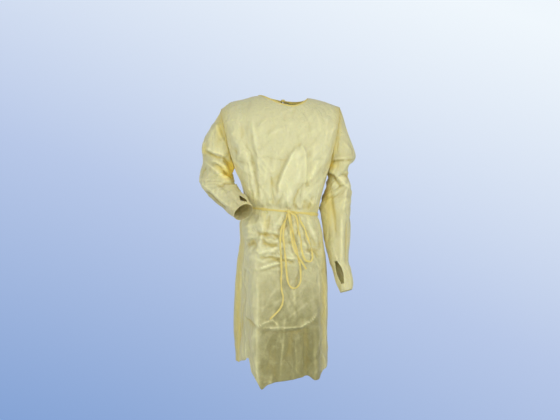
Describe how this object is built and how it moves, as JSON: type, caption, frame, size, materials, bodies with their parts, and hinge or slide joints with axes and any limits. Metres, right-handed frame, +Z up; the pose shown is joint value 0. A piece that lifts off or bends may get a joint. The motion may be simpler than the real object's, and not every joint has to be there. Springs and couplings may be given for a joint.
{
  "type": "protective gown",
  "caption": "Back-opening protective gown in worn form, with set-in sleeves ending over the hand, a bound neck tied at the nape and a waist tie knotted in a bow.",
  "frame": {"origin": "middle of the neck opening at the height of the side-neck points, where the wearer's shoulders carry the gown", "axes": "+Z up the wearer, +X to the wearer's left, -Y to the front"},
  "size_m": [0.594, 0.38, 1.0801],
  "materials": {
    "yellow_nonwoven": "pale yellow spunbond nonwoven, slightly translucent, papery",
    "yellow_tape": "folded strips of the same nonwoven, deeper yellow where it lies in layers"
  },
  "bodies": {
    "root": {"front_panel": "yellow_nonwoven", "back_panel_left": "yellow_nonwoven", "back_panel_right": "yellow_nonwoven", "sleeve_left": "yellow_nonwoven", "sleeve_right_upper": "yellow_nonwoven", "sleeve_right_lower": "yellow_nonwoven", "neck_binding": "yellow_tape", "neck_tie_knot": "yellow_tape", "neck_tie_end_left": "yellow_tape", "neck_tie_end_right": "yellow_tape", "waist_tie_band": "yellow_tape", "waist_tie_knot": "yellow_tape", "waist_tie_end_long": "yellow_tape", "waist_tie_end_short": "yellow_tape", "waist_tie_loop_long": "yellow_tape", "waist_tie_loop_short": "yellow_tape"}
  },
  "joints": []
}
